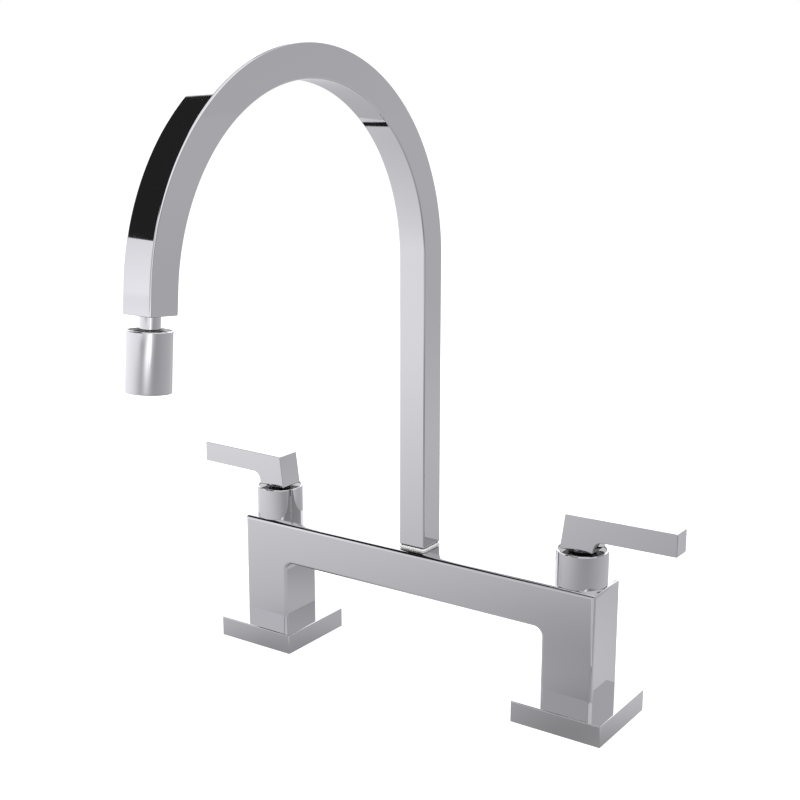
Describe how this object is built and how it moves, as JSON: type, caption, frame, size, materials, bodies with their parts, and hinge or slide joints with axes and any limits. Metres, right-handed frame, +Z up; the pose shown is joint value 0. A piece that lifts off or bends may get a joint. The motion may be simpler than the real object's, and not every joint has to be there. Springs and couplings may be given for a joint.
{
  "type": "two handle kitchen faucet",
  "caption": "Chrome bridge faucet: a square two-legged body on square base plates, a square swivelling gooseneck with a ball-jointed outlet, and lever handles on ceramic disc valves.",
  "frame": {"origin": "on the deck, midway between the centres of the two inlets, which is the centre of the inlet pair's pattern", "axes": "+X along the bridge towards the right inlet as seen from the front, -Y to the front, where the spout points, +Z up from the deck"},
  "size_m": [0.3118, 0.2435, 0.3497],
  "materials": {
    "body_chrome": "polished chrome plate on cast brass",
    "plate_chrome": "polished chrome plate",
    "bonnet_chrome": "polished chrome plate on turned brass",
    "lever_chrome": "polished chrome plate on cast zinc",
    "spout_chrome": "polished chrome plate on square tube",
    "outlet_chrome": "polished chrome plate on turned brass",
    "gasket_rubber": "matte",
    "seal_rubber": "satin",
    "black_plastic": "matte",
    "white_plastic": "matte",
    "grey_plastic": "matte",
    "red_fibre": "matte vulcanised fibre",
    "disc_ceramic": "lapped ceramic",
    "valve_brass": "machined",
    "spring_steel": "oiled",
    "screw_steel": "stainless"
  },
  "bodies": {
    "bridge": {"bridge_body": "body_chrome", "base_plate_left": "plate_chrome", "plate_gasket_left": "gasket_rubber", "bonnet_left": "bonnet_chrome", "glide_ring_left": "black_plastic", "headwork_left": "valve_brass", "headwork_washer_left": "red_fibre", "seat_seal_left": "seal_rubber", "fixed_disc_left": "disc_ceramic", "base_plate_right": "plate_chrome", "plate_gasket_right": "gasket_rubber", "bonnet_right": "bonnet_chrome", "glide_ring_right": "black_plastic", "headwork_right": "valve_brass", "headwork_washer_right": "red_fibre", "seat_seal_right": "seal_rubber", "fixed_disc_right": "disc_ceramic", "spout_screw": "screw_steel"},
    "lever_left": {"lever_left": "lever_chrome", "lever_screw_left": "screw_steel", "spindle_left": "valve_brass", "spindle_o_rings_left": "seal_rubber", "spindle_clip_left": "spring_steel", "moving_disc_left": "disc_ceramic"},
    "lever_right": {"lever_right": "lever_chrome", "lever_screw_right": "screw_steel", "spindle_right": "valve_brass", "spindle_o_rings_right": "seal_rubber", "spindle_clip_right": "spring_steel", "moving_disc_right": "disc_ceramic"},
    "spout": {"spout_tube": "spout_chrome", "spout_collar": "white_plastic", "spout_washer": "black_plastic", "spout_tail": "valve_brass", "spout_o_rings": "seal_rubber", "outlet_bush": "valve_brass"},
    "outlet_neck": {"ball_stud": "outlet_chrome", "stud_o_ring": "seal_rubber", "stud_clip": "spring_steel"},
    "outlet": {"outlet_barrel": "outlet_chrome", "ball_retainer": "black_plastic", "ball_seat": "seal_rubber", "aerator_washer": "seal_rubber", "aerator_housing": "white_plastic", "flow_screen": "grey_plastic"}
  },
  "joints": [
    {"name": "lever_left_turn", "type": "hinge", "parent": "bridge", "child": "lever_left", "pos_m": [-0.1016, 0, 0.0965], "axis": [0, 0, 1], "range_deg": [0, 90]},
    {"name": "lever_right_turn", "type": "hinge", "parent": "bridge", "child": "lever_right", "pos_m": [0.1016, 0, 0.0965], "axis": [0, 0, 1], "range_deg": [-90, 0]},
    {"name": "spout_swivel", "type": "hinge", "parent": "bridge", "child": "spout", "pos_m": [0, 0, 0.0765], "axis": [0, 0, 1], "continuous": true},
    {"name": "outlet_spin", "type": "hinge", "parent": "spout", "child": "outlet_neck", "pos_m": [0, -0.20422, 0.23727], "axis": [0, 0.0906, 0.9959], "continuous": true},
    {"name": "outlet_tilt", "type": "hinge", "parent": "outlet_neck", "child": "outlet", "pos_m": [0, -0.20547, 0.22363], "axis": [1, 0, 0], "range_deg": [-15, 15]}
  ]
}
